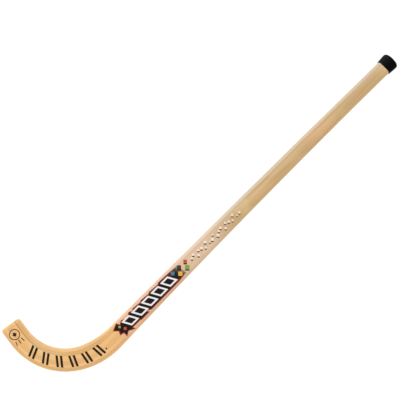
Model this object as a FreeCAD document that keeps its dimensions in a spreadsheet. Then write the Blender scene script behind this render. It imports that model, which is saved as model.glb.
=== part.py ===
"""Rink hockey stick: a bent blank glued up from thin wooden laths, a rubber butt cap and printed transfers.

Millimetres, +Z up. The stick lies on its back face, Z = 0. The origin is on the back face, in the middle of
the shaft's width, where the shaft ends and the hook begins. +X runs up the shaft to the butt, and +Y is the
side that the toe turns to. A heading is a direction measured from +X: the wood leaves the origin at a heading
of 180 degrees and turns clockwise round the hook to the toe.
"""
import FreeCAD, Part
import math
import os
import Sketcher
from FreeCAD import Placement, Rotation, Vector

doc = FreeCAD.newDocument("rink_hockey_stick")

# ---- Driving dimensions ------------------------------------------------------------------------------------

SIZES = {
    # outside edge of the hook: a wide heel arc, a tighter hook arc, then a short straight toe
    "bend_width": 45.8,
    "heel_radius": 164,
    "heel_turn": 34,
    "hook_radius": 142,
    "toe_heading": 81.5,
    "toe_run": 28.3,
    "toe_corner": 6,
    # inside edge of the hook: a flat throat arc, then the crook
    "throat_start": 19.9,
    "throat_radius": 181,
    "throat_turn": 22.7,
    "crook_radius": 97,
    # shaft: its two edges are very large arcs, and both faces taper to the butt
    "wood_end": 822,
    "outer_swing": 1.9,
    "outer_butt": 14,
    "inner_butt": 17.1,
    "blade_thick": 20.5,
    "butt_thick": 17.5,
    "taper_start": 240,
    "edge_round": 7.8,
    # laths that the blank is glued up from
    "lath_count": 15,
    "lath_thick": 3.1,
    "outside_planed": 0.9,
    "feather_01": 62,
    "feather_02": 176,
    "feather_03": 336,
    "feather_15": 594,
    # rubber butt cap
    "cap_rim": 804,
    "cap_flare": 15,
    "cap_long": 25.4,
    "cap_rim_wide": 34.2,
    "cap_rim_corner": 8.7,
    "cap_bead_wide": 36.8,
    "cap_bead_corner": 9.8,
    "cap_lip": 0.9,
    "cap_dome": 3.4,
    "cap_nose": 4,
    # printed transfers
    "film_thick": 0.2,
    "mark_count": 6,
    "mark_first": 191.5,
    "mark_sweep": 70,
    "mark_high": 24,
    "mark_stroke": 4.8,
}

# how far two points or edges may be apart and still count as being in the same place
NEAR = 0.01

sheet = doc.addObject("Spreadsheet::Sheet", "sizes")
for row, (alias, number) in enumerate(SIZES.items(), start=1):
    sheet.set(f"A{row}", alias)
    sheet.set(f"B{row}", str(number))
    sheet.setAlias(f"B{row}", alias)
doc.recompute()


def size(alias):
    """The number that the sheet holds under this name."""
    return float(sheet.get(alias))


# ---- The plan of the hook ----------------------------------------------------------------------------------

def along(heading):
    """One millimetre in the direction of a heading."""
    return Vector(math.cos(math.radians(heading)), math.sin(math.radians(heading)), 0)


def outward(heading):
    """One millimetre square to a heading, from the hook's centre towards its outside edge."""
    return along(heading + 90)


TOE = size("toe_heading")
HEEL_END = 180 - size("heel_turn")
THROAT_END = 180 - size("throat_turn")
heel_centre = Vector(0, size("heel_radius") - size("bend_width") / 2, 0)
hook_centre = heel_centre + outward(HEEL_END) * (size("heel_radius") - size("hook_radius"))
throat_centre = Vector(size("throat_start"), size("throat_radius") + size("bend_width") / 2, 0)
crook_centre = throat_centre + outward(THROAT_END) * (size("throat_radius") - size("crook_radius"))

# the same two centres as formulas of the sheet's cells
HOOK_CENTRE_X = "(sizes.heel_radius - sizes.hook_radius) * sin(sizes.heel_turn * 1 deg)"
CROOK_CENTRE_X = ("(sizes.throat_radius - sizes.crook_radius) * sin(sizes.throat_turn * 1 deg)"
                  " - sizes.throat_start")

# ---- Bodies and sketches -----------------------------------------------------------------------------------

START, END, CENTRE = 1, 2, 3
ORIGIN = (-1, 1)
X_AXIS, Y_AXIS = -1, -2


def new_body(label):
    body = doc.addObject("PartDesign::Body", label)
    body.Label = label
    return body


def new_sketch(body, name, plane="XY_Plane", height=None, at=None):
    """An empty sketch on one of the body's own planes, raised by a formula, its origin moved to a point."""
    sketch = body.newObject("Sketcher::SketchObject", name)
    support = next(item for item in body.Origin.OriginFeatures if item.Role == plane)
    sketch.AttachmentSupport = [(support, "")]
    sketch.MapMode = "FlatFace"
    sketch.AttachmentOffset = Placement(at or Vector(), Rotation())
    if height:
        sketch.setExpression("AttachmentOffset.Base.z", height)
    return sketch


def line(start, end):
    return Part.LineSegment(start, end)


def arc(centre, radius, from_heading, to_heading):
    """A stretch of the hook's edge, between two headings of the wood that runs along it."""
    circle = Part.Circle(centre, Vector(0, 0, 1), radius)
    return Part.ArcOfCircle(circle, math.radians(from_heading + 90), math.radians(to_heading + 90))


def arc_between(centre, start, end):
    """An arc anticlockwise from one point to another."""
    spokes = [point - centre for point in (start, end)]
    circle = Part.Circle(centre, Vector(0, 0, 1), spokes[0].Length)
    return Part.ArcOfCircle(circle, *(math.atan2(spoke.y, spoke.x) for spoke in spokes))


def smooth(sketch, *ends):
    sketch.addConstraint(Sketcher.Constraint("Tangent", *ends))


def meet(sketch, *ends):
    sketch.addConstraint(Sketcher.Constraint("Coincident", *ends))


def bind(sketch, name, formula, kind, *where):
    """A named dimension of the sketch, which the sheet drives."""
    index = sketch.addConstraint(Sketcher.Constraint(kind, *where, measure(sketch, kind, *where)))
    sketch.renameConstraint(index, name)
    sketch.setExpression(f"Constraints.{name}", formula)


def measure(sketch, kind, *where):
    """What the sketch's own geometry measures, so that each dimension starts out true."""
    shape = sketch.Geometry[where[0]] if where[0] >= 0 else None
    if kind == "Radius":
        return shape.Radius
    if kind == "Distance":
        return shape.length()
    if kind == "Angle":
        way = shape.EndPoint - shape.StartPoint
        return math.atan2(way.y, way.x)
    way = sketch.getPoint(*where[2:]) - sketch.getPoint(*where[:2])
    return way.x if kind == "DistanceX" else way.y


def outline(sketch, points):
    """A closed outline of straight sides."""
    first = sketch.GeometryCount
    count = len(points)
    for corner in range(count):
        sketch.addGeometry(line(points[corner], points[(corner + 1) % count]), False)
    for corner in range(count):
        meet(sketch, first + corner, END, first + (corner + 1) % count, START)


def pad(body, sketch, name, length):
    feature = body.newObject("PartDesign::Pad", name)
    feature.Profile = sketch
    feature.setExpression("Length", length)
    return feature


# ---- The shaped blank: plan outline, tapered faces, rounded edges ------------------------------------------

blank = new_body("blank")
plan = new_sketch(blank, "blank_plan")

# outside edge, from the butt to the toe
outer_start_heading = 180 + size("outer_swing")
outer_start = heel_centre + outward(outer_start_heading) * size("heel_radius")
outer_corner = Vector(size("wood_end"), -size("outer_butt"), 0)
outer_chord = outer_corner - outer_start
outer_sweep = outer_chord.Length ** 2 / (2 * outer_chord.dot(outward(outer_start_heading)))
outer_sweep_centre = outer_start + outward(outer_start_heading) * outer_sweep
toe_line_start = hook_centre + outward(TOE) * size("hook_radius")
toe_line_end = toe_line_start + along(TOE) * size("toe_run")
toe_outer_corner = toe_line_end - outward(TOE) * size("toe_corner")
toe_rounding = along(TOE) * size("toe_corner")

# inside edge, from the toe to the butt
crook_end = crook_centre + outward(TOE) * size("crook_radius")
crook_line_end = crook_end + along(TOE) * (toe_line_end - crook_end).dot(along(TOE))
toe_inner_corner = crook_line_end + outward(TOE) * size("toe_corner")
throat_foot = Vector(size("throat_start"), size("bend_width") / 2, 0)
inner_corner = Vector(size("wood_end"), size("inner_butt"), 0)
inner_chord = inner_corner - throat_foot
inner_sweep = inner_chord.Length ** 2 / (-2 * inner_chord.y)
inner_sweep_centre = throat_foot - Vector(0, inner_sweep, 0)

(SHAFT_OUTER, HEEL, HOOK, TOE_OUTER, CORNER_OUTER, TOE_END, CORNER_INNER, TOE_INNER, CROOK, THROAT,
 SHAFT_INNER, BUTT_END) = range(12)
plan.addGeometry([
    arc_between(outer_sweep_centre, outer_corner, outer_start),
    arc(heel_centre, size("heel_radius"), HEEL_END, outer_start_heading),
    arc(hook_centre, size("hook_radius"), TOE, HEEL_END),
    line(toe_line_start, toe_line_end),
    arc(toe_outer_corner, size("toe_corner"), TOE - 90, TOE),
    line(toe_outer_corner + toe_rounding, toe_inner_corner + toe_rounding),
    arc(toe_inner_corner, size("toe_corner"), TOE - 180, TOE - 90),
    line(crook_line_end, crook_end),
    arc(crook_centre, size("crook_radius"), TOE, THROAT_END),
    arc(throat_centre, size("throat_radius"), THROAT_END, 180),
    arc_between(inner_sweep_centre, inner_corner, throat_foot),
    line(outer_corner, inner_corner),
], False)
smooth(plan, SHAFT_OUTER, END, HEEL, END)
smooth(plan, HEEL, START, HOOK, END)
smooth(plan, HOOK, START, TOE_OUTER, START)
smooth(plan, TOE_OUTER, END, CORNER_OUTER, END)
smooth(plan, CORNER_OUTER, START, TOE_END, START)
smooth(plan, TOE_END, END, CORNER_INNER, END)
smooth(plan, CORNER_INNER, START, TOE_INNER, START)
smooth(plan, TOE_INNER, END, CROOK, START)
smooth(plan, CROOK, END, THROAT, START)
smooth(plan, THROAT, END, SHAFT_INNER, END)
meet(plan, SHAFT_INNER, START, BUTT_END, END)
meet(plan, BUTT_END, START, SHAFT_OUTER, START)
plan.addConstraint(Sketcher.Constraint("PointOnObject", HEEL, CENTRE, Y_AXIS))
plan.addConstraint(Sketcher.Constraint("Perpendicular", TOE_END, TOE_OUTER))
plan.addConstraint(Sketcher.Constraint("Parallel", TOE_INNER, TOE_OUTER))
plan.addConstraint(Sketcher.Constraint("Equal", CORNER_INNER, CORNER_OUTER))
plan.addConstraint(Sketcher.Constraint("Vertical", BUTT_END))
bind(plan, "heel_radius", "sizes.heel_radius", "Radius", HEEL)
bind(plan, "heel_height", "sizes.heel_radius - sizes.bend_width / 2", "DistanceY", *ORIGIN,
     HEEL, CENTRE)
bind(plan, "heel_start", "sizes.heel_radius * sin(sizes.outer_swing * 1 deg)", "DistanceX", *ORIGIN,
     HEEL, END)
bind(plan, "hook_radius", "sizes.hook_radius", "Radius", HOOK)
bind(plan, "hook_back", HOOK_CENTRE_X, "DistanceX", HOOK, CENTRE, *ORIGIN)
bind(plan, "toe_heading", "sizes.toe_heading * 1 deg", "Angle", TOE_OUTER)
bind(plan, "toe_run", "sizes.toe_run", "Distance", TOE_OUTER)
bind(plan, "toe_corner", "sizes.toe_corner", "Radius", CORNER_OUTER)
bind(plan, "crook_radius", "sizes.crook_radius", "Radius", CROOK)
bind(plan, "crook_back", CROOK_CENTRE_X, "DistanceX", CROOK, CENTRE, *ORIGIN)
bind(plan, "throat_radius", "sizes.throat_radius", "Radius", THROAT)
bind(plan, "throat_height", "sizes.throat_radius + sizes.bend_width / 2", "DistanceY", *ORIGIN,
     THROAT, CENTRE)
bind(plan, "throat_start", "sizes.throat_start", "DistanceX", *ORIGIN, THROAT, CENTRE)
bind(plan, "throat_foot", "sizes.throat_start", "DistanceX", *ORIGIN, THROAT, END)
bind(plan, "wood_end", "sizes.wood_end", "DistanceX", *ORIGIN, BUTT_END, START)
bind(plan, "outer_butt", "sizes.outer_butt", "DistanceY", BUTT_END, START, *ORIGIN)
bind(plan, "inner_butt", "sizes.inner_butt", "DistanceY", *ORIGIN, BUTT_END, END)
pad(blank, plan, "blank_pad", "sizes.blade_thick")
doc.recompute()

# both faces leave the blade's plane along a very large arc, square to it, and end at the butt's thickness
TAPER_DROP = "((sizes.blade_thick - sizes.butt_thick) / 2)"
TAPER_RUN = "(sizes.wood_end - sizes.taper_start)"
TAPER_RADIUS = f"({TAPER_RUN} * {TAPER_RUN} + {TAPER_DROP} * {TAPER_DROP}) / (2 * {TAPER_DROP})"
TAPER_CLEAR = 3
taper_drop = (size("blade_thick") - size("butt_thick")) / 2
taper_run = size("wood_end") - size("taper_start")
taper_radius = (taper_run ** 2 + taper_drop ** 2) / (2 * taper_drop)


def taper(name, face, side):
    """Planes one face of the shaft down towards the butt; side is +1 on the front face and -1 on the back."""
    sketch = new_sketch(blank, f"{name}_sketch", plane="XZ_Plane")
    top = Vector(size("taper_start"), face, 0)
    low = Vector(size("wood_end"), face - side * taper_drop, 0)
    clear = Vector(0, side * TAPER_CLEAR, 0)
    centre = top - Vector(0, side * taper_radius, 0)
    above_low = Vector(low.x, top.y, 0) + clear
    sketch.addGeometry([
        arc_between(centre, low, top) if side > 0 else arc_between(centre, top, low),
        line(top, top + clear),
        line(top + clear, above_low),
        line(above_low, low),
    ], False)
    top_end, low_end = (END, START) if side > 0 else (START, END)
    meet(sketch, 0, top_end, 1, START)
    meet(sketch, 1, END, 2, START)
    meet(sketch, 2, END, 3, START)
    meet(sketch, 3, END, 0, low_end)
    for upright in (1, 3):
        sketch.addConstraint(Sketcher.Constraint("Vertical", upright))
    sketch.addConstraint(Sketcher.Constraint("Horizontal", 2))
    bind(sketch, "radius", TAPER_RADIUS, "Radius", 0)
    bind(sketch, "centre", "sizes.taper_start", "DistanceX", *ORIGIN, 0, CENTRE)
    bind(sketch, "start", "sizes.taper_start", "DistanceX", *ORIGIN, 0, top_end)
    bind(sketch, "wood_end", "sizes.wood_end", "DistanceX", *ORIGIN, 0, low_end)
    if side > 0:
        bind(sketch, "face", "sizes.blade_thick", "DistanceY", *ORIGIN, 0, top_end)
    else:
        sketch.addConstraint(Sketcher.Constraint("PointOnObject", 0, top_end, X_AXIS))
    pocket = blank.newObject("PartDesign::Pocket", name)
    pocket.Profile = sketch
    pocket.Type = "ThroughAll"
    pocket.Midplane = True
    doc.recompute()
    return pocket


taper("front_taper", size("blade_thick"), 1)
planed = taper("back_taper", 0, -1)


def long_edges(shape):
    """The rims of the two faces, all round but for the butt's sawn end."""
    names = []
    for number, edge in enumerate(shape.Edges, start=1):
        first, last = edge.valueAt(edge.FirstParameter), edge.valueAt(edge.LastParameter)
        upright = abs(first.z - last.z) > size("butt_thick") / 2
        crosses_blade = edge.BoundBox.XLength < NEAR and abs(first.x - size("taper_start")) < NEAR
        at_butt = edge.BoundBox.XMin > size("wood_end") - NEAR
        if not (upright or crosses_blade or at_butt):
            names.append(f"Edge{number}")
    return names


rounding = blank.newObject("PartDesign::Fillet", "edge_rounding")
rounding.Base = (planed, long_edges(planed.Shape))
rounding.setExpression("Radius", "sizes.edge_round")
doc.recompute()

# ---- Laths: the blank is glued up from thin strips bent side by side, so each glue line follows the hook ---
# The shaft is sawn narrower than the hook, so the outer laths run out along its edges. Each of them stops at
# its feather_ station, where it is about 0.3 mm thin, and its neighbour takes up the rest.

STRIP_REACH = 10
STRIP_SPARE = 4
lath_count = int(size("lath_count"))
feathers = {int(alias[-2:]): alias for alias in SIZES if alias.startswith("feather_")}


def glue_line(number):
    """The depth of a glue line in from the outside, and its formula; the first and last clear the blank."""
    spare = {0: -STRIP_SPARE, lath_count: STRIP_SPARE}.get(number, 0)
    depth = number * size("lath_thick") - size("outside_planed") + spare
    return depth, f"({number} * sizes.lath_thick - sizes.outside_planed + ({spare}))"


def bent_side(sketch, name, number, stop, step):
    """One side of a strip, along a glue line: shaft, heel, hook, toe. It returns its two free ends.

    stop is the cell that says where the strip ends up the shaft. step is None, or the cell and the glue line
    where the side steps out past the blank, to take in the rest of a neighbour that has run out.
    """
    depth, formula = glue_line(number)
    half_width = "sizes.bend_width / 2"
    level = depth - size("bend_width") / 2
    shaft = sketch.GeometryCount
    heel, hook, toe = range(shaft + 1, shaft + 4)
    hook_end = hook_centre + outward(TOE) * (size("hook_radius") - depth)
    sketch.addGeometry([
        line(Vector(size(step[0] if step else stop), level, 0), Vector(0, level, 0)),
        arc(heel_centre, size("heel_radius") - depth, HEEL_END, 180),
        arc(hook_centre, size("hook_radius") - depth, TOE, HEEL_END),
        line(hook_end, hook_end + along(TOE) * (size("toe_run") + size("toe_corner") + STRIP_REACH)),
    ], False)
    smooth(sketch, shaft, END, heel, END)
    smooth(sketch, heel, START, hook, END)
    smooth(sketch, hook, START, toe, START)
    sketch.addConstraint(Sketcher.Constraint("Horizontal", shaft))
    sketch.addConstraint(Sketcher.Constraint("PointOnObject", heel, CENTRE, Y_AXIS))
    bind(sketch, f"{name}_heel", f"sizes.heel_radius - {formula}", "Radius", heel)
    bind(sketch, f"{name}_level", f"sizes.heel_radius - {half_width}", "DistanceY", *ORIGIN, heel, CENTRE)
    bind(sketch, f"{name}_hook", f"sizes.hook_radius - {formula}", "Radius", hook)
    bind(sketch, f"{name}_back", HOOK_CENTRE_X, "DistanceX", hook, CENTRE, *ORIGIN)
    bind(sketch, f"{name}_toe", "sizes.toe_heading * 1 deg", "Angle", toe)
    bind(sketch, f"{name}_run", f"sizes.toe_run + sizes.toe_corner + {STRIP_REACH}", "Distance", toe)
    butt = shaft
    if step:
        far_depth, far_formula = glue_line(step[1])
        far_level = far_depth - size("bend_width") / 2
        riser, butt = toe + 1, toe + 2
        sketch.addGeometry([
            line(Vector(size(step[0]), level, 0), Vector(size(step[0]), far_level, 0)),
            line(Vector(size(stop), far_level, 0), Vector(size(step[0]), far_level, 0)),
        ], False)
        meet(sketch, shaft, START, riser, START)
        meet(sketch, riser, END, butt, END)
        sketch.addConstraint(Sketcher.Constraint("Vertical", riser))
        sketch.addConstraint(Sketcher.Constraint("Horizontal", butt))
        bind(sketch, f"{name}_riser", f"sizes.{step[0]}", "DistanceX", *ORIGIN, shaft, START)
        bind(sketch, f"{name}_far", f"{far_formula} - {half_width}", "DistanceY", *ORIGIN, butt, START)
    bind(sketch, f"{name}_stop", f"sizes.{stop}", "DistanceX", *ORIGIN, butt, START)
    return (butt, START), (toe, END)


laths = []
for number in range(1, lath_count + 1):
    strip = new_body(f"strip_{number:02d}")
    strip_plan = new_sketch(strip, f"strip_{number:02d}_plan")
    stop = feathers.get(number, "wood_end")
    outer_step = (feathers[number - 1], 0) if number - 1 in feathers else None
    near_inside = number > lath_count / 2
    inner_step = (feathers[number + 1], lath_count) if near_inside and number + 1 in feathers else None
    outer_ends = bent_side(strip_plan, "outer", number - 1, stop, outer_step)
    inner_ends = bent_side(strip_plan, "inner", number, stop, inner_step)
    for outer_end, inner_end in zip(outer_ends, inner_ends):
        end_cut = line(strip_plan.getPoint(*outer_end), strip_plan.getPoint(*inner_end))
        closing = strip_plan.addGeometry(end_cut, False)
        meet(strip_plan, closing, START, *outer_end)
        meet(strip_plan, closing, END, *inner_end)
    pad(strip, strip_plan, f"strip_{number:02d}_pad", "sizes.blade_thick")
    lath = doc.addObject("Part::Common", f"lath_{number:02d}")
    lath.Base = blank
    lath.Tool = strip
    laths.append(lath)
doc.recompute()

# ---- Butt cap: one rubber moulding, pushed over the sawn end and flared towards its nose -------------------

cap_form = new_body("cap_form")
CAP_MIDDLE = "((sizes.inner_butt - sizes.outer_butt) / 2)"
cap_middle = Vector((size("inner_butt") - size("outer_butt")) / 2, size("blade_thick") / 2, 0)
RIM_HIGH = "(sizes.butt_thick + 2 * sizes.cap_lip)"


def cap_section(name, station, wide, high, corner):
    """A rounded oblong across the shaft, at a station along it; each size is a pair of number and formula."""
    sketch = new_sketch(cap_form, name, plane="YZ_Plane", height=station)
    reach = Vector(wide[0] / 2, high[0] / 2, 0)
    inner = reach - Vector(corner[0], corner[0], 0)
    turns = [(1, -1), (1, 1), (-1, 1), (-1, -1)]
    centres = [cap_middle + Vector(x * inner.x, y * inner.y, 0) for x, y in turns]
    for quarter, centre in enumerate(centres):
        circle = Part.Circle(centre, Vector(0, 0, 1), corner[0])
        start, end = (math.radians(90 * turn) for turn in (quarter - 1, quarter))
        sketch.addGeometry(Part.ArcOfCircle(circle, start, end), False)
    for quarter in range(4):
        following = (quarter + 1) % 4
        flat = line(sketch.getPoint(quarter, END), sketch.getPoint(following, START))
        side = sketch.addGeometry(flat, False)
        smooth(sketch, quarter, END, side, START)
        smooth(sketch, side, END, following, START)
        sketch.addConstraint(Sketcher.Constraint("Horizontal" if quarter % 2 else "Vertical", side))
    for quarter in range(1, 4):
        sketch.addConstraint(Sketcher.Constraint("Equal", 0, quarter))
    bind(sketch, "corner", corner[1], "Radius", 0)
    bind(sketch, "right", f"{CAP_MIDDLE} + {wide[1]} / 2", "DistanceX", *ORIGIN, 0, END)
    bind(sketch, "left", f"{wide[1]} / 2 - {CAP_MIDDLE}", "DistanceX", 2, END, *ORIGIN)
    bind(sketch, "top", f"sizes.blade_thick / 2 + {high[1]} / 2", "DistanceY", *ORIGIN, 1, END)
    bind(sketch, "foot", f"sizes.blade_thick / 2 - {high[1]} / 2", "DistanceY", *ORIGIN, 0, START)
    return sketch


def cell(alias):
    return size(alias), f"sizes.{alias}"


rim_high = (size("butt_thick") + 2 * size("cap_lip"), RIM_HIGH)
rim = cap_section("cap_rim", "sizes.cap_rim", cell("cap_rim_wide"), rim_high, cell("cap_rim_corner"))
bead = cap_section("cap_bead", "sizes.cap_rim + sizes.cap_flare", cell("cap_bead_wide"), cell("blade_thick"),
                   cell("cap_bead_corner"))
doc.recompute()
flare = cap_form.newObject("PartDesign::AdditiveLoft", "cap_flare_loft")
flare.Profile = rim
flare.Sections = [bead]
flare.Ruled = True
nose = pad(cap_form, bead, "cap_nose_pad", "sizes.cap_long - sizes.cap_flare")
doc.recompute()

# the nose is domed: in plan its end is an arc, which falls back by cap_dome at the cap's widest
NOSE_END = "(sizes.cap_rim + sizes.cap_long)"
DOME_RADIUS = "((sizes.cap_bead_wide * sizes.cap_bead_wide / 4 + sizes.cap_dome ^ 2) / (2 * sizes.cap_dome))"
DOME_CLEAR = 3
nose_end = size("cap_rim") + size("cap_long")
half_bead = size("cap_bead_wide") / 2
dome_radius = (half_bead ** 2 + size("cap_dome") ** 2) / (2 * size("cap_dome"))
dome_centre = Vector(nose_end - dome_radius, cap_middle.x, 0)
dome_reach = half_bead + DOME_CLEAR
dome_back = math.sqrt(dome_radius ** 2 - dome_reach ** 2)
dome_ends = [dome_centre + Vector(dome_back, side * dome_reach, 0) for side in (-1, 1)]
dome_far = [Vector(nose_end + DOME_CLEAR, end.y, 0) for end in dome_ends]
dome_plan = new_sketch(cap_form, "cap_dome_plan")
dome_plan.addGeometry([
    arc_between(dome_centre, dome_ends[0], dome_ends[1]),
    line(dome_ends[1], dome_far[1]),
    line(dome_far[1], dome_far[0]),
    line(dome_far[0], dome_ends[0]),
], False)
meet(dome_plan, 0, END, 1, START)
meet(dome_plan, 1, END, 2, START)
meet(dome_plan, 2, END, 3, START)
meet(dome_plan, 3, END, 0, START)
for level_side in (1, 3):
    dome_plan.addConstraint(Sketcher.Constraint("Horizontal", level_side))
dome_plan.addConstraint(Sketcher.Constraint("Vertical", 2))
bind(dome_plan, "radius", DOME_RADIUS, "Radius", 0)
bind(dome_plan, "centre", f"{NOSE_END} - {DOME_RADIUS}", "DistanceX", *ORIGIN, 0, CENTRE)
bind(dome_plan, "middle", CAP_MIDDLE, "DistanceY", *ORIGIN, 0, CENTRE)
DOME_REACH = f"sizes.cap_bead_wide / 2 + {DOME_CLEAR}"
bind(dome_plan, "right", f"{DOME_REACH} - {CAP_MIDDLE}", "DistanceY", 0, START, *ORIGIN)
bind(dome_plan, "left", f"{DOME_REACH} + {CAP_MIDDLE}", "DistanceY", *ORIGIN, 0, END)
bind(dome_plan, "far", f"{NOSE_END} + {DOME_CLEAR}", "DistanceX", *ORIGIN, 2, START)
dome = cap_form.newObject("PartDesign::Pocket", "cap_dome")
dome.Profile = dome_plan
dome.Type = "ThroughAll"
dome.Midplane = True
doc.recompute()
dome_start = nose_end - size("cap_dome") - NEAR
nose_edges = [f"Edge{number}" for number, edge in enumerate(dome.Shape.Edges, start=1)
              if edge.BoundBox.XMin > dome_start]
nose_round = cap_form.newObject("PartDesign::Fillet", "cap_nose_round")
nose_round.Base = (dome, nose_edges)
nose_round.setExpression("Radius", "sizes.cap_nose")
doc.recompute()
butt_cap = doc.addObject("Part::Cut", "butt_cap")
butt_cap.Base = cap_form
butt_cap.Tool = blank
doc.recompute()

# ---- Printed transfers: thin films laid on the front face under the varnish --------------------------------

FRONT = "sizes.blade_thick"
mid_radius = (size("hook_radius") + size("crook_radius")) / 2


def film_plan(label, name, height, outlines, at=None):
    """A body, and a sketch in it of one or more closed outlines, with points from the sketch's origin."""
    body = new_body(label)
    sketch = new_sketch(body, name, height=height, at=at)
    for points in outlines:
        outline(sketch, points)
    return body, sketch


def flat_film(label, name, outlines, at):
    """A film that lies wholly on the flat of the blade."""
    body, sketch = film_plan(label, name, FRONT, outlines, at)
    return body, sketch, pad(body, sketch, f"{name}_film", "sizes.film_thick")


# the blank raised by a film's thickness: between it and the blank is a film that follows the rounded edges
lifted = doc.addObject("App::Link", "lifted_blank")
lifted.LinkedObject = blank
lifted.setExpression("Placement.Base.z", "sizes.film_thick")
WRAP_DEPTH = 3
WRAP_CLEAR = 1


def wrapped_film(label, name, outlines):
    """A film that also runs over the shaft's rounded edges, down to WRAP_DEPTH below its face."""
    form, sketch = film_plan(f"{label}_form", name, f"{FRONT} - {WRAP_DEPTH}", outlines)
    pad(form, sketch, f"{name}_prism", str(WRAP_DEPTH + WRAP_CLEAR))
    doc.recompute()
    raised = doc.addObject("Part::Common", f"{label}_raised")
    raised.Base = form
    raised.Tool = lifted
    film = doc.addObject("Part::Cut", label)
    film.Base = raised
    film.Tool = blank
    doc.recompute()
    return film


# six pairs of slanted bars round the hook, and a dot after them
BAR_GAP = 9.2
BAR_LEAN = 5
DOT_AT = (268, 126)
DOT_RADIUS = 1.7
bar_half = size("mark_high") / 2
stroke_half = size("mark_stroke") / 2
radial, sideways = along(size("mark_first")), along(size("mark_first") + 90)
bars = []
for shift in (-BAR_GAP / 2, BAR_GAP / 2):
    foot = radial * (mid_radius - bar_half) + sideways * (shift - BAR_LEAN / 2)
    head = radial * (mid_radius + bar_half) + sideways * (shift + BAR_LEAN / 2)
    stroke = sideways * stroke_half
    bars.append([foot - stroke, foot + stroke, head + stroke, head - stroke])
hook_marks, bar_sketch, bar_pair = flat_film("hook_marks", "bar_pair", bars, hook_centre)
bar_ring = hook_marks.newObject("PartDesign::PolarPattern", "bar_ring")
bar_ring.Originals = [bar_pair]
bar_ring.Axis = (bar_sketch, ["N_Axis"])
bar_ring.setExpression("Angle", "sizes.mark_sweep * 1 deg")
bar_ring.setExpression("Occurrences", "sizes.mark_count")
hook_marks.Tip = bar_ring
dot_sketch = new_sketch(hook_marks, "dot", height=FRONT, at=hook_centre)
dot_sketch.addGeometry(Part.Circle(along(DOT_AT[0]) * DOT_AT[1], Vector(0, 0, 1), DOT_RADIUS), False)
pad(hook_marks, dot_sketch, "dot_film", "sizes.film_thick")

# a plain roundel near the toe: a ring, a lozenge inside it and three short bars below, splayed like legs
ROUNDEL_AT = (166.2, 122)
RING_RADII = (11.5, 9.9)
LOZENGE = 5
LEG_WIDE = 1.8
LEG_LONG = 9
LEG_CLEAR = 2
LEG_PITCH = 7
LEG_SPLAY = 2
roundel_centre = hook_centre + along(ROUNDEL_AT[0]) * ROUNDEL_AT[1]
toe_way, side_way = along(TOE), outward(TOE)
roundel_shapes = [[toe_way * LOZENGE, side_way * LOZENGE, toe_way * -LOZENGE, side_way * -LOZENGE]]
for step in (-1, 0, 1):
    leg_top = toe_way * (-RING_RADII[0] - LEG_CLEAR) + side_way * (LEG_PITCH * step)
    leg_foot = leg_top - toe_way * LEG_LONG + side_way * (LEG_SPLAY * step)
    half = side_way * (LEG_WIDE / 2)
    roundel_shapes.append([leg_top - half, leg_top + half, leg_foot + half, leg_foot - half])
toe_roundel, roundel_sketch, _ = flat_film("toe_roundel", "roundel", roundel_shapes, roundel_centre)
for radius in RING_RADII:
    roundel_sketch.addGeometry(Part.Circle(Vector(), Vector(0, 0, 1), radius), False)

# the long dark panel: five spikes at its lower end, three shallow steps along its inside edge
PANEL = [(34, 20), (18, 12.5), (27, 4), (23, -4), (32, -6), (32, -15.5), (42, -10), (56, -17), (54, -11),
         (75, -11), (77, -12.5), (101, -12.5), (98, -7), (107, -12), (188, -11.2), (212, -8.5), (208, 15),
         (185, 16.8), (155, 18), (153, 15.6), (128, 17.8), (126, 15.4), (104, 17.6), (101, 15.2), (80, 17.6),
         (77, 14), (69, 18), (59, 11.5), (46, 17), (38, 12.5)]
panel_film = wrapped_film("panel_film", "panel", [[Vector(x, y, 0) for x, y in PANEL]])

# a trail of small lozenges up the shaft: five large ones beside the panel's end, then a swarm that sways
# from side to side while its lozenges grow and shrink
LARGE_SPARKS = [(190.5, 10, 5.6), (209, 9.6, 5.8), (201.5, -1.8, 6.2), (221, -2.4, 6.4), (226.5, 9.2, 5.2)]
SWARM_COUNT = 20
SWARM_START = 241
SWARM_PITCH = 7.2
SWARM_MIDDLE = 3.6
SWARM_SWAY = 5
SWAY_TURN = 2.3
SPARK_LEAST = 2
SPARK_SWELL = 1.9
SWELL_TURN = 1.7
SWELL_START = 0.6


def lozenge(x, y, half):
    return [Vector(x + half, y, 0), Vector(x, y + half, 0), Vector(x - half, y, 0), Vector(x, y - half, 0)]


sparks = [lozenge(x, y, half) for x, y, half in LARGE_SPARKS]
for number in range(SWARM_COUNT):
    station = SWARM_START + SWARM_PITCH * number
    sway = SWARM_MIDDLE + SWARM_SWAY * math.sin(SWAY_TURN * number)
    half = SPARK_LEAST + SPARK_SWELL * abs(math.sin(SWELL_TURN * number + SWELL_START))
    sparks.append(lozenge(station, sway, half))
spark_trail = wrapped_film("spark_trail", "sparks", sparks)

# the panel leaves the lozenges' places free, so no two films share a place
shaft_panel = doc.addObject("Part::Cut", "shaft_panel")
shaft_panel.Base = panel_film
shaft_panel.Tool = spark_trail
doc.recompute()

# ---- Check and write ---------------------------------------------------------------------------------------

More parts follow.
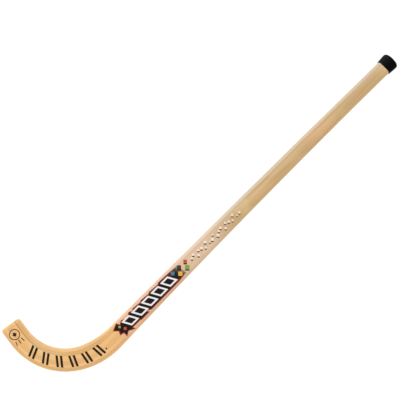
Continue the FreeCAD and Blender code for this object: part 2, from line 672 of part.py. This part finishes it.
failed = [item.Name for item in doc.Objects if {"Invalid", "Error"} & set(item.State)]
if failed:
    raise RuntimeError(f"these did not compute: {failed}")
pieces = laths + [butt_cap, hook_marks, toe_roundel, shaft_panel, spark_trail]
os.makedirs("parts", exist_ok=True)
for piece in pieces:
    if piece.Shape.isNull() or not piece.Shape.isValid() or piece.Shape.Volume <= 0:
        raise RuntimeError(f"{piece.Label} has no sound shape")
    piece.Shape.exportStep(f"parts/{piece.Label}.step")
    print(f"{piece.Label}: {len(piece.Shape.Solids)} solid(s), {piece.Shape.Volume / 1000:.2f} cm3")
lath_total = sum(lath.Shape.Volume for lath in laths)
print(f"laths fill {lath_total / blank.Shape.Volume:.4f} of the blank's {blank.Shape.Volume / 1000:.1f} cm3")
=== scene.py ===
import math

import bmesh
import bpy
from mathutils import Matrix, Vector
from mathutils.bvhtree import BVHTree


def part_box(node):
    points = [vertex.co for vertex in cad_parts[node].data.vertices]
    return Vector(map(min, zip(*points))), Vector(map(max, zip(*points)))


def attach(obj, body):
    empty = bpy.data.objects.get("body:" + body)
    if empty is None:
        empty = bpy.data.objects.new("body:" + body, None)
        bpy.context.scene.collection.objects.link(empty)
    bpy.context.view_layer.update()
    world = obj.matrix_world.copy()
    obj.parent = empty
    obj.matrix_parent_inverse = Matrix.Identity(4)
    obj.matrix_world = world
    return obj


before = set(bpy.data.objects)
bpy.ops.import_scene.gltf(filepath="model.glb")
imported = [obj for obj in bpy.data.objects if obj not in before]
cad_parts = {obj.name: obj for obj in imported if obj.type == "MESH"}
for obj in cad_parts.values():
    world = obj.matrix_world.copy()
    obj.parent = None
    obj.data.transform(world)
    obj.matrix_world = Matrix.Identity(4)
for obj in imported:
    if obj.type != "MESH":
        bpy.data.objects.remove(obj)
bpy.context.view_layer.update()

# ---- The laths ---------------------------------------------------------------------------------------------
# Fifteen strips of pale ash, bent side by side round the hook, glued face to face, then planed and rounded as
# one piece and varnished. The wood is one material, because the strips are cut from like boards: it works out
# from each point's place how far along the bent grain it lies, and which strip it is in.

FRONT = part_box("lath_08")[1].z
HALF_THICK = FRONT / 2
BEND_WIDTH = 0.0458
HEEL_RADIUS = 0.164
HEEL_TURN = math.radians(34)
HOOK_RADIUS = 0.142
TOE = math.radians(81.5)
HOOK_TURN = math.pi - TOE
TOE_END = 0.0343
LATH = 0.0031
LATH_SHIFT = 0.0009
LATH_LAST = 14
TAPER_START = 0.24
TAPER_RADIUS = 112.9
GLUE_HALF = (0.00005, 0.00022)
MERGE = 1e-6
heel_centre = Vector((0, HEEL_RADIUS - BEND_WIDTH / 2, 0))
toe_way = Vector((math.cos(TOE), math.sin(TOE), 0))
toe_outward = Vector((-math.sin(TOE), math.cos(TOE), 0))
heel_way = Vector((-math.sin(HEEL_TURN), -math.cos(HEEL_TURN), 0))
hook_centre = heel_centre + (HEEL_RADIUS - HOOK_RADIUS) * heel_way


class Flow:
    """A number that varies over a surface. Arithmetic on it adds Math nodes to its finish."""

    def __init__(self, finish, socket):
        self.finish = finish
        self.socket = socket

    def math(self, operation, *others):
        numbers = {index: other for index, other in enumerate((self, *others))}
        return Flow(self.finish, self.finish.add("Math", {"operation": operation}, numbers).outputs[0])

    def __add__(self, other):
        return self.math("ADD", other)

    def __sub__(self, other):
        return self.math("SUBTRACT", other)

    def __rsub__(self, other):
        return (self * -1) + other

    def __mul__(self, other):
        return self.math("MULTIPLY", other)

    def __truediv__(self, other):
        return self.math("DIVIDE", other)

    __radd__ = __add__
    __rmul__ = __mul__

    def between(self, low, high):
        """0 below low, 1 above high, with a smooth step from one to the other."""
        settings = {"interpolation_type": "SMOOTHSTEP"}
        step = self.finish.add("MapRange", settings, {"Value": self, "From Min": low, "From Max": high})
        return Flow(self.finish, step.outputs[0])

    def choose(self, below, above):
        """below where this is 0, and above where it is 1."""
        return below + (above - below) * self


class Finish:
    """A material under construction, around one Principled shader."""

    def __init__(self, name):
        self.material = bpy.data.materials.new(name)
        self.material.use_nodes = True
        self.tree = self.material.node_tree
        self.tree.nodes.clear()
        self.skin = self.add("BsdfPrincipled")
        self.add("OutputMaterial", inputs={"Surface": self.skin.outputs[0]})

    def add(self, kind, settings=None, inputs=None):
        """A node of this kind: its settings first, then the values or links of its sockets."""
        node = self.tree.nodes.new(f"ShaderNode{kind}")
        for name, value in (settings or {}).items():
            setattr(node, name, value)
        for name, value in (inputs or {}).items():
            self.feed(node.inputs[name], value)
        return node

    def feed(self, socket, value):
        if isinstance(value, Flow):
            value = value.socket
        if isinstance(value, bpy.types.NodeSocket):
            self.tree.links.new(value, socket)
        elif hasattr(socket.default_value, "__len__") and len(socket.default_value) == 4 and len(value) == 3:
            socket.default_value = (*value, 1)
        else:
            socket.default_value = value

    def set(self, **inputs):
        """Sockets of the Principled shader, with _ for a space."""
        for name, value in inputs.items():
            self.feed(self.skin.inputs[name.replace("_", " ")], value)
        return self

    def place(self):
        """The three parts of the point's place in the part's own frame, in metres."""
        here = self.add("TexCoord").outputs["Object"]
        parts = self.add("SeparateXYZ", inputs={0: here}).outputs
        return [Flow(self, part) for part in parts]

    def vector(self, x, y, z):
        return self.add("CombineXYZ", inputs={0: x, 1: y, 2: z}).outputs[0]

    def noise(self, vector, detail=2, roughness=0.5):
        inputs = {"Vector": vector, "Scale": 1, "Detail": detail, "Roughness": roughness}
        return Flow(self, self.add("TexNoise", {"noise_dimensions": "3D"}, inputs).outputs[0])

    def bump(self, height, strength, depth):
        inputs = {"Strength": strength, "Distance": depth, "Height": height}
        return self.add("Bump", inputs=inputs).outputs[0]

    def mix(self, factor, below, above):
        """A colour between two others; below and above are colours or links."""
        return self.add("Mix", {"data_type": "RGBA"}, {0: factor, 6: below, 7: above}).outputs[2]


wood = Finish("varnished_ash")
x, y, z = wood.place()

# how deep the point is in from the outside edge, and how far along the bent wood, in four stretches
heel_y = y - heel_centre.y
heel_reach = (x * x + heel_y * heel_y).math("SQRT")
heel_angle = (x * -1).math("ARCTAN2", heel_y * -1)
hook_x = x - hook_centre.x
hook_y = y - hook_centre.y
hook_reach = (hook_x * hook_x + hook_y * hook_y).math("SQRT")
hook_angle = (hook_x * -1).math("ARCTAN2", hook_y * -1)
HEEL_MIDDLE = HEEL_RADIUS - BEND_WIDTH / 2
HOOK_MIDDLE = HOOK_RADIUS - BEND_WIDTH / 2
toe_reach = hook_x * toe_outward.x + hook_y * toe_outward.y
toe_run = hook_x * toe_way.x + hook_y * toe_way.y
in_bend = x.math("LESS_THAN", 0.0)
in_hook = hook_angle.math("GREATER_THAN", HEEL_TURN)
in_toe = hook_angle.math("GREATER_THAN", HOOK_TURN)
depth = in_bend.choose(y + BEND_WIDTH / 2, in_hook.choose(
    HEEL_RADIUS - heel_reach, in_toe.choose(HOOK_RADIUS - hook_reach, HOOK_RADIUS - toe_reach)))
heel_length = HEEL_MIDDLE * HEEL_TURN
hook_length = heel_length + HOOK_MIDDLE * (HOOK_TURN - HEEL_TURN)
grain_run = in_bend.choose(x * -1, in_hook.choose(heel_angle * HEEL_MIDDLE, in_toe.choose(
    hook_angle * HOOK_MIDDLE + (heel_length - HOOK_MIDDLE * HEEL_TURN), toe_run + hook_length)))

# each lath has its own tone, and its own piece of the grain
lath_place = (depth + LATH_SHIFT) / LATH
lath = lath_place.math("FLOOR").math("MINIMUM", LATH_LAST)
chance = wood.add("TexWhiteNoise", {"noise_dimensions": "1D"}, {"W": lath + 4.37})
lath_tone = Flow(wood, chance.outputs["Value"])
board = lath * 0.37
broad = wood.noise(wood.vector(grain_run * 5 + board, depth * 60, z * 30 + board), detail=3)
streak = wood.noise(wood.vector(grain_run * 9 + board * 3, depth * 900, z * 260), detail=3, roughness=0.6)
fleck = wood.noise(wood.vector(grain_run * 160 + board * 7, depth * 3000, z * 3000), detail=2)
glue_gap = ((lath_place + 0.5).math("FRACT") - 0.5).math("ABSOLUTE") * LATH
glue = 1 - glue_gap.between(*GLUE_HALF)

# the blade is more amber than the shaft, and the rounded edges start at a faint dark line
blade = 1 - x.between(0.02, 0.36)
taper = (x - TAPER_START).math("MAXIMUM", 0.0)
below_face = HALF_THICK - taper * taper / (2 * TAPER_RADIUS) - (z - HALF_THICK).math("ABSOLUTE")
crease = below_face.between(0.00001, 0.00004) * (1 - below_face.between(0.00009, 0.0002))
toe_end_grain = (toe_run - (TOE_END - 0.003)).between(0, 0.003) * in_toe

SHAFT_PALE = (0.76, 0.515, 0.250)
SHAFT_DARK = (0.60, 0.385, 0.160)
BLADE_PALE = (0.95, 0.560, 0.215)
BLADE_DARK = (0.82, 0.450, 0.150)
PINK = (0.78, 0.44, 0.23)
STRAW = (0.90, 0.66, 0.34)
PAINTED_LIT_SIDE = (0.62, 0.505, 0.345)
PAINTED_SHADE_SIDE = (0.50, 0.325, 0.115)
GLUE = (0.36, 0.19, 0.07)
PORE = (0.30, 0.16, 0.06)
STAINED_LINE = 0.0363
SAPWOOD = 0.0123
PAINTED_SHADE_INNER_EDGE = (0.60, 0.34, 0.12)
END_GRAIN = (0.50, 0.27, 0.10)
TINT = (0.84, 0.48, 0.34)
TINT_PALE = (0.79, 0.575, 0.42)
TINT_MIDDLE = 0.003
SIDE_DRIFT = 0.0019
lightness = (broad * 0.45 + streak * 0.55 + (lath_tone - 0.5) * 0.34).between(0.28, 0.72)
shaft_colour = wood.mix(lightness, SHAFT_DARK, SHAFT_PALE)
blade_colour = wood.mix(lightness, BLADE_DARK, BLADE_PALE)
colour = wood.mix(blade, shaft_colour, blade_colour)

# soft patches of warmer and paler wood; a painted highlight pales the side towards the toe's tip and a
# painted shade darkens the side away from it
patches = wood.noise(wood.vector(x * 14, y * 20 + 3.1, z * 9), detail=2)
colour = wood.mix(patches.between(0.52, 0.66) * 0.35, colour, PINK)
colour = wood.mix((1 - patches.between(0.34, 0.48)) * 0.35, colour, STRAW)
side = y - x * SIDE_DRIFT
on_shaft = x.between(0.04, 0.14)
# painted highlight: the side towards the toe's tip is paled and greyed as the soft box would light it
painted_lit_side = (side + x.between(0.62, 0.80) * 0.005).between(0.007, 0.018)
colour = wood.mix(painted_lit_side * on_shaft * 0.95, colour, PAINTED_LIT_SIDE)
# painted shade: the side away from the toe's tip is darkened
colour = wood.mix((1 - side.between(-0.013, -0.003)) * on_shaft * 0.45, colour, PAINTED_SHADE_SIDE)
colour = wood.mix(fleck.between(0.60, 0.72) * 0.28, colour, PORE)
colour = wood.mix(glue * 0.45, colour, GLUE)

# one glue line near the inside of the hook took up stain, and one strip near the outside is sapwood
in_curve = 1 - x.between(-0.02, 0.03)
stained = (1 - (depth - STAINED_LINE).math("ABSOLUTE").between(0.0004, 0.0012)) * in_curve
colour = wood.mix(stained * (0.4 + 0.4 * grain_run.between(0.13, 0.22)), colour, GLUE)
# painted shade darkens the wood along the inside edge of the hook's curve
colour = wood.mix(depth.between(0.037, 0.043) * in_curve * 0.45, colour, PAINTED_SHADE_INNER_EDGE)
sapwood = (1 - (depth - SAPWOOD).math("ABSOLUTE").between(0.0005, 0.0014)) * in_curve
colour = wood.mix(sapwood * 0.5, colour, STRAW)
colour = wood.mix(crease * 0.25, colour, GLUE)
colour = wood.mix(toe_end_grain * 0.5, colour, END_GRAIN)

# a warm tint is airbrushed on the front face round the panel
middle_away = (y - TINT_MIDDLE).math("ABSOLUTE")
tint = (x.between(0.010, 0.050) * (1 - x.between(0.28, 0.38)) * (1 - middle_away.between(0.016, 0.028))
        * z.between(HALF_THICK - 0.002, HALF_THICK + 0.006))
colour = wood.mix(tint * 0.6, colour, wood.mix(x.between(0.17, 0.24), TINT, TINT_PALE))
relief = wood.bump(streak + fleck * 0.5, strength=0.25, depth=0.0001)
wood.set(Base_Color=colour, Roughness=0.48 - fleck * 0.08, Coat_Weight=0.25, Coat_Roughness=0.32,
         Normal=relief)

laths = [node for name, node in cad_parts.items() if name.startswith("lath_")]
for node in laths:
    node.material_slots[0].material = wood.material

# ---- The butt cap ------------------------------------------------------------------------------------------
# One moulding of black rubber, pushed over the sawn end of the shaft. Its skin is smooth from a polished
# mould, with a faint bloom and fine rubbing marks, and a painted sheen lightens its side towards the toe's
# tip.

rubber = Finish("cap_rubber")
x, y, z = rubber.place()
bloom = rubber.noise(rubber.vector(x * 160, y * 160, z * 160), detail=4)
pebble = rubber.noise(rubber.vector(x * 2600, y * 2600, z * 2600), detail=1)
RUBBER_DEEP = (0.0008, 0.0008, 0.0008)
RUBBER_BLOOM = (0.0026, 0.0025, 0.0024)
RUBBER_PAINTED_SHEEN = (0.0120, 0.0120, 0.0110)
rubber_colour = rubber.mix(bloom.between(0.45, 0.75), RUBBER_DEEP, RUBBER_BLOOM)
# painted sheen: the cap is made lighter on its side towards the toe's tip, where the soft box would shine on
# it
rubber.set(Base_Color=rubber.mix(y.between(-0.002, 0.014) * 0.8, rubber_colour, RUBBER_PAINTED_SHEEN),
           Roughness=0.30 + bloom * 0.14, Specular_IOR_Level=0.05,
           Normal=rubber.bump(pebble, strength=0.12, depth=0.00004))
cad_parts["butt_cap"].material_slots[0].material = rubber.material

# ---- The bars round the hook and the roundel ---------------------------------------------------------------
# Screen-printed inks on thin carrier film, laid on the sanded wood before the last coat of varnish:
# near-black bars round the hook, and a small brown roundel by the toe.


def printed(name, thin, thick, fade=None):
    """An ink under the varnish that covers a little unevenly; fade gives how much of it is there."""
    ink = Finish(name)
    x, y, z = ink.place()
    cover = ink.noise(ink.vector(x * 900, y * 900, z * 900), detail=3)
    ink.set(Base_Color=ink.mix(cover.between(0.35, 0.75), thick, thin), Roughness=0.38 + cover * 0.1,
            Coat_Weight=0.12, Coat_Roughness=0.3, Specular_IOR_Level=0.1)
    if fade:
        ink.set(Alpha=fade(x, y))
    return ink


bar_ink = printed("bar_ink", thin=(0.024, 0.013, 0.006), thick=(0.010, 0.005, 0.002))
roundel_ink = printed("roundel_ink", thin=(0.062, 0.030, 0.013), thick=(0.022, 0.011, 0.006))
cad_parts["hook_marks"].material_slots[0].material = bar_ink.material
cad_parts["toe_roundel"].material_slots[0].material = roundel_ink.material

# ---- The panel ---------------------------------------------------------------------------------------------
# A long dark transfer with spikes at its lower end. A deep red film shows as a rim round the black face that
# is printed over it, and both thin out to bare wood at the upper end.

FILM_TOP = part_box("shaft_panel")[1].z
RIM_WIDE = 0.0021
FACE_END = 0.1838
CUT_STEPS = (0.008, 0.0015)
INK_THICK = 0.00008
INK_CLEAR = 0.00005
UPWARD = 0.3
PANEL_MIDDLE = 0.0034
GREY_HALF = (0.0100, 0.0112)
GREY = (0.012, 0.008, 0.008)
red_ink = printed("panel_red", thin=(0.320, 0.034, 0.022), thick=(0.180, 0.016, 0.012),
                  fade=lambda x, y: 1 - (x + (y - 0.004) * 0.3).between(0.184, 0.217) * 0.95)
black_ink = printed("panel_black", thin=(0.014, 0.007, 0.006), thick=(0.006, 0.002, 0.002))
x, y, _ = red_ink.place()
middle_away = (y - PANEL_MIDDLE).math("ABSOLUTE")
greyed = x.between(FACE_END - 0.0005, FACE_END) * (1 - middle_away.between(*GREY_HALF))
red_link = red_ink.skin.inputs["Base Color"].links[0].from_socket
red_ink.set(Base_Color=red_ink.mix(greyed, red_link, GREY))
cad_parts["shaft_panel"].material_slots[0].material = red_ink.material


def add_piece(name, shape, finish):
    """Turns a finished mesh into a piece that rides with the stick."""
    bmesh.ops.recalc_face_normals(shape, faces=shape.faces)
    data = bpy.data.meshes.new(name)
    shape.to_mesh(data)
    shape.free()
    data.materials.append(finish.material)
    piece = bpy.data.objects.new(name, data)
    bpy.context.collection.objects.link(piece)
    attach(piece, "root")
    return piece


def thicken(shape, thickness):
    """Gives a flat or curved sheet its thickness, upwards."""
    grown = bmesh.ops.extrude_face_region(shape, geom=shape.faces[:])["geom"]
    raised = [part for part in grown if isinstance(part, bmesh.types.BMVert)]
    bmesh.ops.translate(shape, vec=(0, 0, thickness), verts=raised)


def cut(shape, axis, place, clear=False):
    """Cuts a sheet square to an axis, and can clear what lies beyond."""
    normal = Vector((0, 0, 0))
    normal[axis] = 1
    everything = shape.verts[:] + shape.edges[:] + shape.faces[:]
    bmesh.ops.bisect_plane(shape, geom=everything, plane_co=normal * place, plane_no=normal,
                           clear_outer=clear)


# the black face is worked out in plan: the film's outline set in by the rim, then dropped back on to the film
black_face = bmesh.new()
black_face.from_mesh(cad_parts["shaft_panel"].data)
bmesh.ops.remove_doubles(black_face, verts=black_face.verts, dist=MERGE)
underside = [side for side in black_face.faces if side.normal.z < UPWARD]
bmesh.ops.delete(black_face, geom=underside, context="FACES")
red_skin = BVHTree.FromBMesh(black_face)
for vert in black_face.verts:
    vert.co.z = 0
cut(black_face, 0, FACE_END, clear=True)
bmesh.ops.dissolve_limit(black_face, angle_limit=math.radians(2), verts=black_face.verts[:],
                         edges=black_face.edges[:])
rim = bmesh.ops.inset_region(black_face, faces=black_face.faces[:], thickness=RIM_WIDE, use_boundary=True,
                             use_even_offset=True)
bmesh.ops.delete(black_face, geom=rim["faces"], context="FACES")
film_low, film_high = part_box("shaft_panel")
for axis, step in enumerate(CUT_STEPS):
    for number in range(1, math.ceil((film_high[axis] - film_low[axis]) / step)):
        cut(black_face, axis, film_low[axis] + step * number)
bmesh.ops.triangulate(black_face, faces=black_face.faces[:])
for vert in black_face.verts:
    nearest = red_skin.find_nearest(vert.co + Vector((0, 0, FILM_TOP)))[0]
    vert.co.z = nearest.z + INK_CLEAR
thicken(black_face, INK_THICK)
add_piece("panel_face", black_face, black_ink)

# ---- The frames on the panel -------------------------------------------------------------------------------
# Five bold slanted frames in opaque white ink, printed on the black face in one pass.

FRAMES = 5
FRAME_LONG = 0.0215
FRAME_HIGH = 0.0205
FRAME_STROKE = 0.0035
FRAME_LEAN = -0.55
FRAME_PITCH = 0.0283
FRAME_CORNER = 0.0008
FIRST_FRAME = Vector((0.0600, 0.0035, FILM_TOP + INK_CLEAR * 2 + INK_THICK))
white_ink = printed("frame_white", thin=(0.82, 0.80, 0.79), thick=(0.92, 0.91, 0.90))
slanted = Matrix.Identity(4)
slanted[0][1] = FRAME_LEAN
frames = bmesh.new()
for number in range(FRAMES):
    place = Matrix.Translation(FIRST_FRAME + Vector((FRAME_PITCH * number, 0, 0)))
    size = Matrix.Diagonal((FRAME_LONG, FRAME_HIGH, 1, 1))
    bmesh.ops.create_grid(frames, x_segments=1, y_segments=1, size=0.5, matrix=place @ slanted @ size)
inset = bmesh.ops.inset_individual(frames, faces=frames.faces[:], thickness=FRAME_STROKE,
                                   use_even_offset=True)
strokes = set(inset["faces"])
hollows = [side for side in frames.faces if side not in strokes]
bmesh.ops.delete(frames, geom=hollows, context="FACES")
thicken(frames, INK_THICK)
corners = [edge for edge in frames.edges if (edge.verts[0].co - edge.verts[1].co).xy.length < MERGE]
bmesh.ops.bevel(frames, geom=corners, offset=FRAME_CORNER, segments=2, profile=0.5, affect="EDGES",
                material=-1)
add_piece("panel_frames", frames, white_ink)

# ---- The lozenges ------------------------------------------------------------------------------------------
# A trail of small lozenges up the shaft. The first few are in plain colours and the rest in white that thins
# out; each has a dark printed shadow on the side away from the toe's tip.

SPARK_REACH = 0.0072
PALER = 1.3
SHADOW_STEP = Vector((-0.0017, -0.0018, -0.00006))
trail_ink = Finish("trail_inks")
x, y, z = trail_ink.place()
trail_colour = trail_ink.mix(x.between(0.30, 0.385) * 0.55, (0.95, 0.81, 0.72), (0.78, 0.58, 0.38))
SPARK_COLOURS = [
    (0.1905, 0.0100, (0.040, 0.165, 0.270)),
    (0.2090, 0.0096, (0.016, 0.010, 0.013)),
    (0.2015, -0.0018, (0.760, 0.440, 0.040)),
    (0.2210, -0.0024, (0.150, 0.360, 0.030)),
    (0.2265, 0.0092, (0.520, 0.060, 0.018)),
]
for spark_x, spark_y, spark_colour in SPARK_COLOURS:
    away = (x - spark_x).math("ABSOLUTE") + (y - spark_y).math("ABSOLUTE")
    trail_colour = trail_ink.mix(away.math("LESS_THAN", SPARK_REACH), trail_colour, spark_colour)
cover = trail_ink.noise(trail_ink.vector(x * 1200, y * 1200, z * 1200), detail=3)
trail_ink.set(Base_Color=trail_ink.mix(cover.between(0.5, 0.8) * 0.15, trail_colour, (0.3, 0.2, 0.12)),
              Roughness=0.4, Coat_Weight=0.35, Coat_Roughness=0.2)
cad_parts["spark_trail"].material_slots[0].material = trail_ink.material

shadow_ink = printed("trail_shadow", thin=(0.060, 0.028, 0.014), thick=(0.018, 0.009, 0.006),
                     fade=lambda x, y: 0.95 - x.between(0.27, 0.385) * 0.55)
shadows = bmesh.new()
shadows.from_mesh(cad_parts["spark_trail"].data)
bmesh.ops.remove_doubles(shadows, verts=shadows.verts, dist=MERGE)
bmesh.ops.translate(shadows, vec=SHADOW_STEP, verts=shadows.verts)
add_piece("spark_shadows", shadows, shadow_ink)

# two more lozenges lie on the panel's lower end
for name, place, half, colour in (
        ("panel_spark_green", (0.0342, 0.0093), 0.0034, (0.300, 0.340, 0.110)),
        ("panel_spark_red", (0.0404, -0.0012), 0.0042, (0.520, 0.070, 0.040))):
    spark = bmesh.new()
    centre = Vector((*place, FILM_TOP + INK_CLEAR * 2 + INK_THICK))
    bmesh.ops.create_circle(spark, cap_ends=True, segments=4, radius=half, matrix=Matrix.Translation(centre))
    thicken(spark, INK_THICK)
    paler = tuple(part * PALER for part in colour)
    add_piece(name, spark, printed(name, thin=paler, thick=colour))

# ---- Floor, light and camera -------------------------------------------------------------------------------
# The stick lies on a white table that is lit as bright as the room. One large soft box stands low on the
# hook's open side.

VIEW_CENTRE = Vector((0.3383, 0.0775, HALF_THICK))
VIEW_DISTANCE = 1.368
VIEW_TURN = math.radians(-45)
SENSOR_WIDE = 36
LENS_LONG = 58.95
FLOOR_HALF = 6

table = bmesh.new()
bmesh.ops.create_grid(table, x_segments=1, y_segments=1, size=FLOOR_HALF)
floor_data = bpy.data.meshes.new("floor")
table.to_mesh(floor_data)
table.free()
floor = bpy.data.objects.new("floor", floor_data)
bpy.context.collection.objects.link(floor)
white_table = Finish("white_table").set(Base_Color=(0.3, 0.3, 0.3), Roughness=0.9,
                                        Emission_Color=(1, 1, 1), Emission_Strength=0.85)
floor_data.materials.append(white_table.material)

room = bpy.data.worlds.new("room")
room.use_nodes = True
room_light = room.node_tree.nodes["Background"].inputs
room_light["Color"].default_value = (1, 1, 1, 1)
room_light["Strength"].default_value = 0.80
bpy.context.scene.world = room

KEY_PLACE = Vector((0.3, 2.4, 1.9))
soft_box = bpy.data.lights.new("soft_box", "AREA")
soft_box.shape = "SQUARE"
soft_box.size = 1.6
soft_box.energy = 32
key = bpy.data.objects.new("soft_box", soft_box)
key.location = VIEW_CENTRE + KEY_PLACE
key.rotation_euler = (-KEY_PLACE).to_track_quat("-Z", "Y").to_euler()
bpy.context.collection.objects.link(key)

lens = bpy.data.cameras.new("camera")
lens.sensor_width = SENSOR_WIDE
lens.lens = LENS_LONG
camera = bpy.data.objects.new("camera", lens)
camera.location = VIEW_CENTRE + Vector((0, 0, VIEW_DISTANCE))
camera.rotation_euler = (0, 0, VIEW_TURN)
bpy.context.collection.objects.link(camera)
bpy.context.scene.camera = camera
bpy.context.scene.view_settings.view_transform = "Standard"
